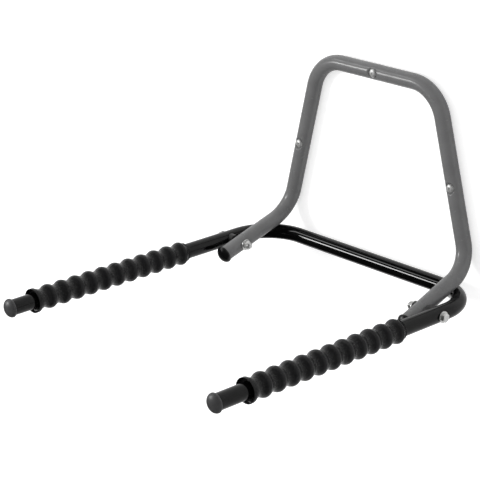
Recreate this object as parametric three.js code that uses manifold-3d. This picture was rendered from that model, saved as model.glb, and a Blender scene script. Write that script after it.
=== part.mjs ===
// A wall-mounted folding bike rack: a grey tube frame screwed to the wall, and a black U of tube
// with two padded arms that folds up about two bolts through the frame's legs.
// Millimetres, +Z up, +Y into the wall. The origin is on the wall plane, behind the top screw.
import * as THREE from "three";
import { mergeVertices } from "three/addons/utils/BufferGeometryUtils.js";
import Module from "manifold-3d";

const wasm = await Module();
wasm.setup();

// ---- Tube stock and fits ----
const TUBE_D = 25; // both bent tubes
const TUBE_WALL = 1.5;
const GAP = 0.3; // between pieces that touch or turn on each other
const TUBE_SIDES = 20; // a multiple of four, so that one flat side lies on the wall
const BORE_SIDES = 12;
const BEND_STEPS = 8; // sections in each bend
const MERGE_DISTANCE = 1e-4; // vertices nearer than this are one
const APPROACH_STEPS = 60; // samples on each run when two centrelines are compared

// ---- Wall frame ----
const TOP_HALF = 125; // from the middle to where the top bar's and an upright's lines meet
const TOP_BEND_R = 62;
const LEG_BEND_R = 54;
const LEG_X = 200; // leg centreline at the pivot, from the middle
const LEG_SLOPE = THREE.MathUtils.degToRad(18.4); // legs fall away from the wall
const LEG_SPLAY = THREE.MathUtils.degToRad(2.3); // and spread outwards
const LEG_TIP = 35; // from the pivot to the end of the leg tube
const PIVOT_OUT = 121.5; // pivot axis from the wall
const PIVOT_DROP = 307.5; // pivot axis below the top bar's centreline
const SIDE_SCREW_DROP = 149.5; // side screws below the top one

// ---- Carrier ----
const ARM_GAP = 6.5; // between a leg's tube and the arm beside it
const CARRIER_BEND_R = 73;

// ---- Ribbed sleeves ----
const SLEEVE_REARS = { left: 95.6, right: 81.3 }; // from the pivot to the rear end of each sleeve
const FRONT_STUB = 39; // bare tube in front of the sleeve that reaches furthest
const RIDGES = 11;
const RIDGE_PITCH = 26.5;
const RIDGE_HEIGHT = 4.6; // above the valleys
const RIDGE_CREST = 8.8; // width of the flat on a ridge
const FRONT_STEP = 30.2; // from the flange at the front to the first ridge
const REAR_TAIL = 10.2; // from the last ridge to the rear end
const REAR_BAND = 1.6; // plain band at the rear end
const SLEEVE_WALL = 1.2; // in the valleys
const FLANGE_HEIGHT = 4.8; // above the valleys
const FLANGE_WIDTH = 5.5;
const FLANGE_LIP = 1.2; // wall of the open rim at the front
const FLANGE_DEPTH = 7; // depth of the open rim
const FLANGE_CONE = 3.5; // how much of that depth narrows down to the tube
const SLEEVE_SIDES = 16;

// ---- End caps ----
// The lip is how far the rim stands out from the tube.
const ARM_CAP = { lip: 2.3, rimLength: 1.2, domeHeight: 8.8, stemLength: 20 };
const LEG_CAP = { lip: 1.8, rimLength: 1.2, domeHeight: 9.3, stemLength: 16 };
const CAP_BARBS = 3; // rings on a cap's stem that grip the tube
const BARB_DEPTH = 0.8;
const CAP_SIDES = 20;
const DOME_STEPS = 5;

// ---- Pivot hardware ----
const BOLT_D = 8;
const HEX_AF = 13; // across the flats of bolt head and nut
const HEAD_HEIGHT = 5.3;
const NUT_HEIGHT = 8;
const NUT_COLLAR = 2.2; // round collar that holds the nut's locking ring
const COLLAR_INSET = 0.8; // how far the collar stands in from the flats
const BOLT_END = 2.5; // bolt that shows past the nut
const WASHER_D = 18;
const WASHER_THICKNESS = 1.6;
const SPACER_D = 20;
const HARDWARE_SIDES = 16;

// ---- Wall screws ----
const SCREW_D = 6;
const SCREW_LENGTH = 60;
const SHANK_D = 5.4; // plain shank between head and thread
const SCREW_HEAD_D = 13.5;
const SCREW_HEAD_HEIGHT = 3.6;
const SCREW_HEAD_EDGE = 0.9; // straight edge of the head below its dome
const HEAD_DOME_STEPS = 3;
const SEAT_DEPTH = 3.8; // dished seat's floor below the front of the tube
const SEAT_EDGE = 0.55; // room beside the screw head on the seat's floor
const SEAT_FLARE = 2.7; // how much wider the seat's mouth is than its floor, in radius
const CROSS_LENGTH = 6.5; // cross recess in the screw head
const CROSS_WIDTH = 1.4;
const CROSS_DEPTH = 1.8;
const THREAD_PITCH = 3;
const THREAD_DEPTH = 0.8;
const SCREW_POINT = 6; // length of the pointed end

// ---- Worked out from the sizes above ----
const TUBE_R = TUBE_D / 2;
const BORE_R = TUBE_R - TUBE_WALL;
const TUBE_CORNER_R = cornerRadius(TUBE_R, TUBE_SIDES);
const ARM_X = LEG_X + TUBE_D + ARM_GAP;
const SLEEVE_LENGTH = FRONT_STEP + (RIDGES - 1) * RIDGE_PITCH + REAR_TAIL;
const SLEEVE_REACH = Math.max(...Object.values(SLEEVE_REARS)) + SLEEVE_LENGTH;
const ARM_LENGTH = SLEEVE_REACH + FRONT_STUB; // from the pivot to the end of the arm tube
const SIDES = [
  { name: "left", sign: -1 },
  { name: "right", sign: 1 },
];

const MATERIALS = {
  frame: new THREE.MeshStandardMaterial({ color: 0x6c6c6c, roughness: 0.4, metalness: 0.2 }),
  carrier: new THREE.MeshStandardMaterial({ color: 0x111111, roughness: 0.22, metalness: 0.2 }),
  sleeve: new THREE.MeshStandardMaterial({ color: 0x1c1c1c, roughness: 0.5, metalness: 0 }),
  cap: new THREE.MeshStandardMaterial({ color: 0x222222, roughness: 0.55, metalness: 0 }),
  zinc: new THREE.MeshStandardMaterial({ color: 0xc4c4c0, roughness: 0.3, metalness: 0.9 }),
  spacer: new THREE.MeshStandardMaterial({ color: 0x161616, roughness: 0.6, metalness: 0 }),
};

const UP_Y = new THREE.Vector3(0, 1, 0); // the way a three.js cylinder stands
const UNSCALED = new THREE.Vector3(1, 1, 1);
const INTO_WALL = new THREE.Vector3(0, 1, 0);
const ACROSS = new THREE.Vector3(1, 0, 0);
const FORWARD_Z = new THREE.Vector3(0, 0, 1); // the way turned pieces are made

// ---- Solids ----

// Radius of the corners of a polygon whose flat sides are r from the middle.
function cornerRadius(r, sides) {
  return r / Math.cos(Math.PI / sides);
}

// A three.js geometry as a solid that can be cut and joined.
function solid(geometry, matrix = new THREE.Matrix4()) {
  const bare = geometry.clone();
  for (const name of Object.keys(bare.attributes)) {
    if (name !== "position") bare.deleteAttribute(name);
  }
  bare.applyMatrix4(matrix);
  const merged = mergeVertices(bare, MERGE_DISTANCE);
  const faces = [];
  for (let i = 0; i < merged.index.count; i += 3) {
    const [a, b, c] = merged.index.array.subarray(i, i + 3);
    if (a !== b && b !== c && c !== a) faces.push([a, b, c]);
  }
  const made = closedSolid(merged.attributes.position.array, faces);
  if (made.volume() > 0) return made;
  return closedSolid(merged.attributes.position.array, faces.map(([a, b, c]) => [a, c, b]));
}

function closedSolid(vertProperties, faces) {
  const triVerts = new Uint32Array(faces.flat());
  return new wasm.Manifold(new wasm.Mesh({ numProp: 3, vertProperties, triVerts }));
}

// A solid back as a named three.js mesh.
function meshOf(name, shape, material) {
  const { vertProperties, triVerts } = shape.getMesh();
  const geometry = new THREE.BufferGeometry();
  geometry.setAttribute("position", new THREE.BufferAttribute(vertProperties, 3));
  geometry.setIndex(new THREE.BufferAttribute(triVerts, 1));
  geometry.computeVertexNormals();
  const mesh = new THREE.Mesh(geometry, material);
  mesh.name = name;
  return mesh;
}

// A turned shape about +Z from [radius, height] points that go once round its section.
function turned(points, sides) {
  const outline = points.map(([r, z]) => new THREE.Vector2(r, z));
  const geometry = new THREE.LatheGeometry(outline, sides);
  geometry.rotateX(Math.PI / 2);
  return solid(geometry);
}

// A round bar along an axis, centred on a place.
function roundBar(radius, length, axis, place) {
  const geometry = new THREE.CylinderGeometry(radius, radius, length, HARDWARE_SIDES);
  const turn = new THREE.Quaternion().setFromUnitVectors(UP_Y, axis);
  return solid(geometry, new THREE.Matrix4().compose(place, turn, UNSCALED));
}

// ---- Bent tubes ----

// The centreline of a bent tube: straight runs between corners, with a round bend at each inner one.
class BentLine extends THREE.Curve {
  constructor(corners, radii) {
    super();
    this.stations = [];
    this.addStation(corners[0], direction(corners[0], corners[1]));
    radii.forEach((radius, i) => this.addBend(corners[i], corners[i + 1], corners[i + 2], radius));
    const last = corners.length - 1;
    this.addStation(corners[last], direction(corners[last - 1], corners[last]));
  }

  addStation(point, tangent) {
    this.stations.push({ point: point.clone(), tangent: tangent.clone() });
  }

  addBend(before, corner, after, radius) {
    const into = direction(before, corner);
    const out = direction(corner, after);
    const angle = into.angleTo(out);
    const axis = new THREE.Vector3().crossVectors(into, out).normalize();
    const start = corner.clone().addScaledVector(into, -radius * Math.tan(angle / 2));
    const inward = new THREE.Vector3().crossVectors(axis, into);
    const centre = start.clone().addScaledVector(inward, radius);
    for (let i = 0; i <= BEND_STEPS; i++) {
      const turn = (angle * i) / BEND_STEPS;
      const spoke = start.clone().sub(centre).applyAxisAngle(axis, turn);
      this.addStation(spoke.add(centre), into.clone().applyAxisAngle(axis, turn));
    }
  }

  get steps() {
    return this.stations.length - 1;
  }

  // The sections stand at the stations, so that a straight run has none between its ends.
  at(t) {
    return this.stations[Math.round(t * this.steps)];
  }

  getPoint(t, target = new THREE.Vector3()) {
    return target.copy(this.at(t).point);
  }

  getPointAt(t, target) {
    return this.getPoint(t, target);
  }

  getTangentAt(t, target = new THREE.Vector3()) {
    return target.copy(this.at(t).tangent);
  }
}

function direction(from, to) {
  return new THREE.Vector3().subVectors(to, from).normalize();
}

function regularOutline(target, r, sides, turn) {
  const corner = cornerRadius(r, sides);
  const points = Array.from({ length: sides }, (_, i) => {
    const angle = turn + (2 * Math.PI * (i + 0.5)) / sides;
    return new THREE.Vector2(corner * Math.cos(angle), corner * Math.sin(angle));
  });
  return target.setFromPoints(points);
}

// Sweeps a round section along a bent line, with one flat side of it turned to a given direction
// in the middle of the line.
function swept(line, radius, sides, facing) {
  const frames = line.computeFrenetFrames(line.steps, false);
  const middle = Math.floor(line.steps / 2);
  const turn = Math.atan2(facing.dot(frames.binormals[middle]), facing.dot(frames.normals[middle]));
  const section = regularOutline(new THREE.Shape(), radius, sides, turn);
  return solid(
    new THREE.ExtrudeGeometry(section, {
      steps: line.steps,
      extrudePath: line,
      bevelEnabled: false,
    }),
  );
}

// A line that runs straight past both ends of another one, to bore it right through.
function lengthened(corners, extra) {
  const longer = corners.map((corner) => corner.clone());
  const last = corners.length - 1;
  longer[0].addScaledVector(direction(corners[1], corners[0]), extra);
  longer[last].addScaledVector(direction(corners[last - 1], corners[last]), extra);
  return longer;
}

// The outside of a bent tube as a full bar, and the same tube bored out.
function bentTube(corners, radii, facing) {
  const bar = swept(new BentLine(corners, radii), TUBE_R, TUBE_SIDES, facing);
  const boreLine = new BentLine(lengthened(corners, TUBE_D), radii);
  return { bar, tube: bar.subtract(swept(boreLine, BORE_R, BORE_SIDES, facing)) };
}

// ---- Wall frame ----

// The direction of a leg, away from the wall.
function legDirection(sign) {
  return new THREE.Vector3(
    sign * Math.sin(LEG_SPLAY),
    -Math.cos(LEG_SPLAY) * Math.cos(LEG_SLOPE),
    -Math.cos(LEG_SPLAY) * Math.sin(LEG_SLOPE),
  );
}

function legPivot(sign) {
  return new THREE.Vector3(sign * LEG_X, -PIVOT_OUT, -PIVOT_DROP);
}

// The frame's corners on one side, from the leg's end up to the top bar.
function frameSide(sign) {
  const along = legDirection(sign);
  const tip = legPivot(sign).addScaledVector(along, LEG_TIP);
  const elbow = legPivot(sign).addScaledVector(along, (TUBE_R - PIVOT_OUT) / -along.y);
  const shoulder = new THREE.Vector3(sign * TOP_HALF, -TUBE_R, 0);
  return { tip, elbow, shoulder };
}

function frameCorners() {
  const left = frameSide(-1);
  const right = frameSide(1);
  return [left.tip, left.elbow, left.shoulder, right.shoulder, right.elbow, right.tip];
}

const FRAME_RADII = [LEG_BEND_R, TOP_BEND_R, TOP_BEND_R, LEG_BEND_R];

// Where the three screws pass the wall plane.
function screwPlaces() {
  const { elbow, shoulder } = frameSide(1);
  const side = shoulder.clone().lerp(elbow, SIDE_SCREW_DROP / (shoulder.z - elbow.z));
  return [
    { name: "top", place: new THREE.Vector3(0, 0, 0) },
    { name: "left", place: new THREE.Vector3(-side.x, 0, side.z) },
    { name: "right", place: new THREE.Vector3(side.x, 0, side.z) },
  ];
}

const SEAT_FLOOR_R = SCREW_HEAD_D / 2 + SEAT_EDGE;
const SEAT_MOUTH_R = SEAT_FLOOR_R + SEAT_FLARE;

// A cone along +Y that narrows from a mouth in front of the tube to a floor behind it.
function seatCone(mouthR, floorR, mouthY, floorY, place) {
  const geometry = new THREE.CylinderGeometry(floorR, mouthR, floorY - mouthY, TUBE_SIDES);
  const middle = new THREE.Vector3(place.x, (mouthY + floorY) / 2, place.z);
  return solid(geometry, new THREE.Matrix4().setPosition(middle));
}

// Presses a dished screw seat into the front of the frame tube and drills it. The dish is cut
// from well in front of the tube, and its own wall stands inside the tube.
function pressSeat(tube, bar, place) {
  const slope = SEAT_FLARE / SEAT_DEPTH;
  const front = -TUBE_D;
  const floor = front + SEAT_DEPTH;
  const ahead = front - TUBE_WALL;
  const cutR = SEAT_MOUTH_R + slope * TUBE_WALL;
  const dish = seatCone(cutR, SEAT_FLOOR_R, ahead, floor, place);
  const underside = seatCone(
    SEAT_MOUTH_R + TUBE_WALL,
    SEAT_FLOOR_R + TUBE_WALL,
    front,
    floor + TUBE_WALL,
    place,
  );
  const hole = roundBar(SCREW_D / 2 + GAP, 3 * TUBE_D, INTO_WALL, place);
  return tube.add(underside.intersect(bar)).subtract(dish).subtract(hole);
}

function boltHole(x, y, z) {
  return roundBar(BOLT_D / 2 + GAP, 2 * TUBE_D, ACROSS, new THREE.Vector3(x, y, z));
}

function wallFrame() {
  const { bar, tube } = bentTube(frameCorners(), FRAME_RADII, INTO_WALL);
  let shape = tube;
  for (const { place } of screwPlaces()) shape = pressSeat(shape, bar, place);
  for (const { sign } of SIDES) {
    const pivot = legPivot(sign);
    shape = shape.subtract(boltHole(pivot.x, pivot.y, pivot.z));
  }
  return meshOf("wall_frame", shape, MATERIALS.frame);
}

// ---- Carrier, in its own frame: the origin is the middle of the pivot axis ----

// The right half of the carrier's centreline, with its crossbar this far behind the pivot.
function carrierCorner(setback) {
  const corners = [
    new THREE.Vector3(ARM_X, -CARRIER_BEND_R, 0),
    new THREE.Vector3(ARM_X, setback, 0),
    new THREE.Vector3(0, setback, 0),
  ];
  return new BentLine(corners, [CARRIER_BEND_R]);
}

// The right leg's centreline in the carrier's frame, from its bend to its shoulder.
function legLine() {
  const { elbow, shoulder } = frameSide(1);
  const corners = [legPivot(1), elbow, shoulder];
  const pivotAxis = new THREE.Vector3(0, -PIVOT_OUT, -PIVOT_DROP);
  return new BentLine(
    corners.map((corner) => corner.sub(pivotAxis)),
    [LEG_BEND_R],
  );
}

function segments(line) {
  return line.stations.slice(1).map(({ point }, i) => new THREE.Line3(line.stations[i].point, point));
}

// How near two centrelines come to each other.
function nearestApproach(lineA, lineB) {
  const point = new THREE.Vector3();
  const foot = new THREE.Vector3();
  let nearest = Infinity;
  for (const a of segments(lineA)) {
    for (let i = 0; i <= APPROACH_STEPS; i++) {
      a.at(i / APPROACH_STEPS, point);
      for (const b of segments(lineB)) {
        b.closestPointToPoint(point, true, foot);
        nearest = Math.min(nearest, foot.distanceTo(point));
      }
    }
  }
  return nearest;
}

// The arms are held level by the carrier's bends, which rest on the undersides of the legs. This
// finds how far behind the pivot the crossbar then lies.
function crossbarSetback() {
  const leg = legLine();
  const touching = 2 * TUBE_CORNER_R + GAP;
  let low = TUBE_D;
  let high = PIVOT_OUT + CARRIER_BEND_R;
  while (high - low > GAP / 100) {
    const middle = (low + high) / 2;
    if (nearestApproach(leg, carrierCorner(middle)) < touching) low = middle;
    else high = middle;
  }
  return high;
}

function carrierCorners() {
  const setback = crossbarSetback();
  return [
    new THREE.Vector3(-ARM_X, -ARM_LENGTH, 0),
    new THREE.Vector3(-ARM_X, setback, 0),
    new THREE.Vector3(ARM_X, setback, 0),
    new THREE.Vector3(ARM_X, -ARM_LENGTH, 0),
  ];
}

function carrierTube() {
  const radii = [CARRIER_BEND_R, CARRIER_BEND_R];
  let shape = bentTube(carrierCorners(), radii, INTO_WALL).tube;
  for (const { sign } of SIDES) shape = shape.subtract(boltHole(sign * ARM_X, 0, 0));
  return meshOf("carrier_tube", shape, MATERIALS.carrier);
}

// A ribbed sleeve along +Z from its open front rim, as one section turned about the arm.
function sleeve(name) {
  const innerR = cornerRadius(TUBE_CORNER_R + GAP, SLEEVE_SIDES);
  const valleyR = innerR + SLEEVE_WALL;
  const ridgeR = valleyR + RIDGE_HEIGHT;
  const flangeR = valleyR + FLANGE_HEIGHT;
  const points = [
    [innerR, FLANGE_DEPTH],
    [flangeR - FLANGE_LIP, FLANGE_DEPTH - FLANGE_CONE],
    [flangeR - FLANGE_LIP, 0],
    [flangeR, 0],
    [flangeR, FLANGE_WIDTH],
    [valleyR, FRONT_STEP - RIDGE_PITCH / 2],
  ];
  for (let i = 0; i < RIDGES; i++) {
    const middle = FRONT_STEP + i * RIDGE_PITCH;
    points.push([ridgeR, middle - RIDGE_CREST / 2], [ridgeR, middle + RIDGE_CREST / 2]);
    if (i < RIDGES - 1) points.push([valleyR, middle + RIDGE_PITCH / 2]);
  }
  points.push([valleyR, SLEEVE_LENGTH - REAR_BAND]);
  points.push([valleyR, SLEEVE_LENGTH]);
  points.push([innerR, SLEEVE_LENGTH]);
  points.push(points[0]);
  return meshOf(name, turned(points, SLEEVE_SIDES), MATERIALS.sleeve);
}

// The section of a dome from its rim almost to its top: [radius, height] points.
function domePoints(radius, base, height, steps) {
  return Array.from({ length: steps }, (_, i) => {
    const angle = ((Math.PI / 2) * i) / steps;
    return [radius * Math.cos(angle), base + height * Math.sin(angle)];
  });
}

// A domed plug along +Z: its rim stands at the tube's end, its stem goes into the bore.
function endCap(name, { lip, rimLength, domeHeight, stemLength }) {
  const stemR = BORE_R - GAP;
  const rimR = TUBE_R + lip;
  const points = [[0, -stemLength]];
  const ring = stemLength / (CAP_BARBS + 1);
  for (let i = 0; i < CAP_BARBS; i++) {
    const start = -stemLength + i * ring;
    points.push([stemR - BARB_DEPTH, start], [stemR, start + ring / 2]);
  }
  points.push([stemR - BARB_DEPTH, -ring], [stemR - BARB_DEPTH, GAP], [rimR, GAP]);
  points.push(...domePoints(rimR, rimLength, domeHeight, DOME_STEPS));
  points.push([0, rimLength + domeHeight]);
  return meshOf(name, turned(points, CAP_SIDES), MATERIALS.cap);
}

// ---- Pivot hardware, each along +X from the face it sits on ----

function hexBar(length) {
  const geometry = new THREE.CylinderGeometry(
    cornerRadius(HEX_AF / 2, 6),
    cornerRadius(HEX_AF / 2, 6),
    length,
    6,
  );
  geometry.rotateZ(-Math.PI / 2);
  geometry.translate(length / 2, 0, 0);
  return solid(geometry);
}

function axleBar(radius, from, to) {
  return roundBar(radius, to - from, ACROSS, new THREE.Vector3((from + to) / 2, 0, 0));
}

// Where the washers' inner faces stand on the pivot axis, from the middle of the rack.
const OUTER_SEAT = ARM_X + TUBE_CORNER_R + GAP;
const INNER_SEAT = LEG_X - TUBE_CORNER_R - GAP - (WASHER_D / 2) * Math.tan(LEG_SPLAY);
const HEAD_SEAT = OUTER_SEAT + WASHER_THICKNESS + GAP;
const NUT_SEAT = INNER_SEAT - WASHER_THICKNESS - GAP;

function washer(name) {
  const shape = axleBar(WASHER_D / 2, 0, WASHER_THICKNESS).subtract(
    axleBar(BOLT_D / 2 + GAP, -WASHER_THICKNESS, 2 * WASHER_THICKNESS),
  );
  return meshOf(name, shape, MATERIALS.zinc);
}

// Its head's seat is at the origin and its shank goes towards -X.
function pivotBolt(name) {
  const shank = HEAD_SEAT - NUT_SEAT + NUT_HEIGHT + BOLT_END;
  const shape = hexBar(HEAD_HEIGHT).add(axleBar(BOLT_D / 2, -shank, HEAD_HEIGHT / 2));
  return meshOf(name, shape, MATERIALS.zinc);
}

// Its seat is at the origin and it goes towards +X.
function pivotNut(name) {
  const shape = hexBar(NUT_HEIGHT - NUT_COLLAR)
    .add(axleBar(HEX_AF / 2 - COLLAR_INSET, NUT_COLLAR, NUT_HEIGHT))
    .subtract(axleBar(BOLT_D / 2 + GAP, -NUT_HEIGHT, 2 * NUT_HEIGHT));
  return meshOf(name, shape, MATERIALS.zinc);
}

// Between a leg and its arm: flat against the leg, and hollowed along +Y to fit the arm's tube,
// whose centre is at the origin.
function pivotSpacer(name) {
  const splay = (SPACER_D / 2) * Math.tan(LEG_SPLAY);
  const legFace = LEG_X - ARM_X + TUBE_CORNER_R + GAP + splay;
  const saddleR = cornerRadius(TUBE_CORNER_R + GAP, HARDWARE_SIDES);
  const shape = axleBar(SPACER_D / 2, legFace, 0)
    .subtract(roundBar(saddleR, 2 * SPACER_D, INTO_WALL, new THREE.Vector3()))
    .subtract(axleBar(BOLT_D / 2 + GAP, 2 * legFace, TUBE_D));
  return meshOf(name, shape, MATERIALS.spacer);
}

// ---- Wall screws ----

// A pan-head screw along +Z into the wall, with the underside of its head at the origin.
function wallScrew(name) {
  const dome = SCREW_HEAD_HEIGHT - SCREW_HEAD_EDGE;
  const head = domePoints(SCREW_HEAD_D / 2, SCREW_HEAD_EDGE, dome, HEAD_DOME_STEPS);
  const rootR = SCREW_D / 2 - THREAD_DEPTH;
  const threadStart = TUBE_D - SEAT_DEPTH;
  const threadEnd = SCREW_LENGTH - SCREW_POINT;
  const turns = Math.floor((threadEnd - threadStart) / THREAD_PITCH);
  const points = [
    [0, -SCREW_HEAD_HEIGHT],
    ...head.reverse().map(([r, height]) => [r, -height]),
    [SCREW_HEAD_D / 2, 0],
    [SHANK_D / 2, 0],
    [SHANK_D / 2, threadStart - THREAD_PITCH],
  ];
  for (let i = 0; i < turns; i++) {
    const start = threadEnd - (turns - i) * THREAD_PITCH;
    points.push([rootR, start], [SCREW_D / 2, start + THREAD_PITCH / 2]);
  }
  points.push([rootR, threadEnd], [0, SCREW_LENGTH]);
  let shape = turned(points, HARDWARE_SIDES);
  for (const turn of [0, Math.PI / 2]) {
    const slot = new THREE.BoxGeometry(CROSS_LENGTH, CROSS_WIDTH, 2 * CROSS_DEPTH);
    const place = new THREE.Matrix4().makeRotationZ(turn).setPosition(0, 0, -SCREW_HEAD_HEIGHT);
    shape = shape.subtract(solid(slot, place));
  }
  return meshOf(name, shape, MATERIALS.zinc);
}

// ---- Assembly ----

// Puts a piece that was made along +X on the pivot axis, facing outwards or inwards.
function onPivotAxis(piece, x, outwards) {
  piece.position.x = x;
  if (!outwards) piece.rotation.z = Math.PI;
  return piece;
}

function buildWallFrame() {
  const group = new THREE.Group();
  group.add(wallFrame());
  for (const { name, place } of screwPlaces()) {
    const screw = wallScrew(`wall_screw_${name}`);
    screw.position.set(place.x, SEAT_DEPTH - TUBE_D - GAP, place.z);
    screw.rotation.x = -Math.PI / 2;
    group.add(screw);
  }
  for (const { name, sign } of SIDES) {
    const cap = endCap(`leg_end_cap_${name}`, LEG_CAP);
    cap.position.copy(frameSide(sign).tip);
    cap.quaternion.setFromUnitVectors(FORWARD_Z, legDirection(sign));
    group.add(cap);
  }
  return group;
}

// Bolts, nuts and washers stay with the legs.
function buildPivots() {
  const group = new THREE.Group();
  group.position.set(0, -PIVOT_OUT, -PIVOT_DROP);
  for (const { name, sign } of SIDES) {
    const right = sign > 0;
    group.add(
      onPivotAxis(washer(`outer_washer_${name}`), sign * OUTER_SEAT, right),
      onPivotAxis(washer(`inner_washer_${name}`), sign * INNER_SEAT, !right),
      onPivotAxis(pivotBolt(`pivot_bolt_${name}`), sign * HEAD_SEAT, right),
      onPivotAxis(pivotNut(`pivot_nut_${name}`), sign * NUT_SEAT, !right),
    );
  }
  return group;
}

function buildCarrier() {
  const group = new THREE.Group();
  group.position.set(0, -PIVOT_OUT, -PIVOT_DROP);
  group.add(carrierTube());
  for (const { name, sign } of SIDES) {
    const grip = sleeve(`grip_sleeve_${name}`);
    grip.position.set(sign * ARM_X, -SLEEVE_REARS[name] - SLEEVE_LENGTH, 0);
    grip.rotation.x = -Math.PI / 2;
    const cap = endCap(`arm_end_cap_${name}`, ARM_CAP);
    cap.position.set(sign * ARM_X, -ARM_LENGTH, 0);
    cap.rotation.x = Math.PI / 2;
    group.add(grip, cap, onPivotAxis(pivotSpacer(`pivot_spacer_${name}`), sign * ARM_X, sign > 0));
  }
  return group;
}

const rack = new THREE.Group();
rack.name = "wall_bike_rack";
rack.add(buildWallFrame(), buildPivots(), buildCarrier());

export default rack;
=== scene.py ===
"""Looks for a wall-mounted folding bike rack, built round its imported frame.

Metres, +Z up, +Y into the wall. The origin is on the wall plane, behind the top screw.
"""

from __future__ import annotations

import logging
import math
from dataclasses import dataclass, field
from enum import Enum
from typing import Callable, Sequence

import bmesh
import bpy
from mathutils import Matrix, Vector

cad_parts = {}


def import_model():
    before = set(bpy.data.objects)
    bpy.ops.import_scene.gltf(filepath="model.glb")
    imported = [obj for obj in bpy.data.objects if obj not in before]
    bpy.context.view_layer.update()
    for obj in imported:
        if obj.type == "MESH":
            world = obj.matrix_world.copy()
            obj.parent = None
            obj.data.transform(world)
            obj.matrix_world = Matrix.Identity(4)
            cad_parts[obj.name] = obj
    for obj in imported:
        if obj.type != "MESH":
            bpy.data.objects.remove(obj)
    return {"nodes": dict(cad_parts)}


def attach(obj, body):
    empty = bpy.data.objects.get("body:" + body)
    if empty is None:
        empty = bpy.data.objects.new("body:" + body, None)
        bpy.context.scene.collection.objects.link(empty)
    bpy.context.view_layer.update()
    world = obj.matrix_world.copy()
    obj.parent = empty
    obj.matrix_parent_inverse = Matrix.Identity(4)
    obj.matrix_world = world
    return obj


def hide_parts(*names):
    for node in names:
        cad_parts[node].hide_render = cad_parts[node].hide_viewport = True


LOG = logging.getLogger("bike_rack")

MM = 0.001
TUBE_R = 12.5 * MM
TUBE_WALL = 1.5 * MM
PIVOT_OUT = 121.5 * MM
PIVOT_DROP = 307.5 * MM
LEG_X = 200 * MM
ARM_X = 231.5 * MM
LEG_SLOPE = math.radians(18.4)
LEG_SPLAY = math.radians(2.3)
SEAT_DEPTH = 3.8 * MM
SCREW_HEAD_R = 6.75 * MM
SCREW_BORE_R = 3.3 * MM
BOLT_R = 4 * MM
HOLE_PLAY = 0.3 * MM
BOLT_BORE_R = BOLT_R + HOLE_PLAY
DRILL_LENGTH = 4 * TUBE_R
TOUCHING = 1e-6
ROUNDING = 1e-9
X_AXIS = Vector((1, 0, 0))
Y_AXIS = Vector((0, 1, 0))
Z_AXIS = Vector((0, 0, 1))
Profile = Sequence[tuple[float, float]]
Colour = tuple[float, float, float]
WHITE = (1.0, 1.0, 1.0, 1.0)


class Body(Enum):
    """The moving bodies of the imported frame."""

    FRAME = "wall_frame"
    CARRIER = "carrier"


class Slot(Enum):
    """The material slots of the record."""

    FRAME = "frame_paint"
    CARRIER = "carrier_paint"
    SLEEVE = "sleeve"
    CAP = "cap"
    ZINC = "zinc"
    SPACER = "spacer"


class Cut(Enum):
    """How one solid is combined with another."""

    TAKE_AWAY = "DIFFERENCE"
    KEEP_COMMON = "INTERSECT"
    ADD = "UNION"


@dataclass(frozen=True)
class Side:
    """One side of the rack.

    Args:
        name: The word used in the names of its pieces.
        sign: -1 on the left and 1 on the right, as seen from the room.
    """

    name: str
    sign: int


SIDES = (Side("left", -1), Side("right", 1))


# ---- Shader maths ----


class Value:
    """A shader value that adds its Math nodes when it is used in an expression."""

    def __init__(self, graph: Graph, socket: bpy.types.NodeSocket) -> None:
        """Wraps one output socket of a graph."""
        self.graph = graph
        self.socket = socket

    def _math(self, operation: str, *operands: Value | float) -> Value:
        """Adds one Math node.

        Args:
            operation: The Math node's operation.
            operands: What goes into it, in order.

        Returns:
            Its result.
        """
        inputs = dict(enumerate(operands))
        node = self.graph.node("ShaderNodeMath", {"operation": operation}, inputs)
        return Value(self.graph, node.outputs[0])

    def __add__(self, other: Value | float) -> Value:
        """This plus another."""
        return self._math("ADD", self, other)

    __radd__ = __add__

    def __mul__(self, other: Value | float) -> Value:
        """This times another."""
        return self._math("MULTIPLY", self, other)

    def __sub__(self, other: Value | float) -> Value:
        """This less another."""
        return self._math("SUBTRACT", self, other)

    def __rsub__(self, other: Value | float) -> Value:
        """Another less this."""
        return self._math("SUBTRACT", other, self)

    def __pow__(self, other: Value | float) -> Value:
        """This to the power of another."""
        return self._math("POWER", self, other)

    def smaller(self, other: Value | float) -> Value:
        """The smaller of this and another."""
        return self._math("MINIMUM", self, other)

    def ramp(self, low: float, high: float) -> Value:
        """A smooth rise from 0 to 1.

        Args:
            low: The value at which the result is 0.
            high: The value at which it is 1. It may be below low, for a fall.

        Returns:
            The smoothed share.
        """
        if low > high:
            return 1 - self.ramp(high, low)
        node = self.graph.node(
            "ShaderNodeMapRange",
            {"interpolation_type": "SMOOTHSTEP"},
            {"Value": self, "From Min": low, "From Max": high},
        )
        return Value(self.graph, node.outputs[0])


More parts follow.
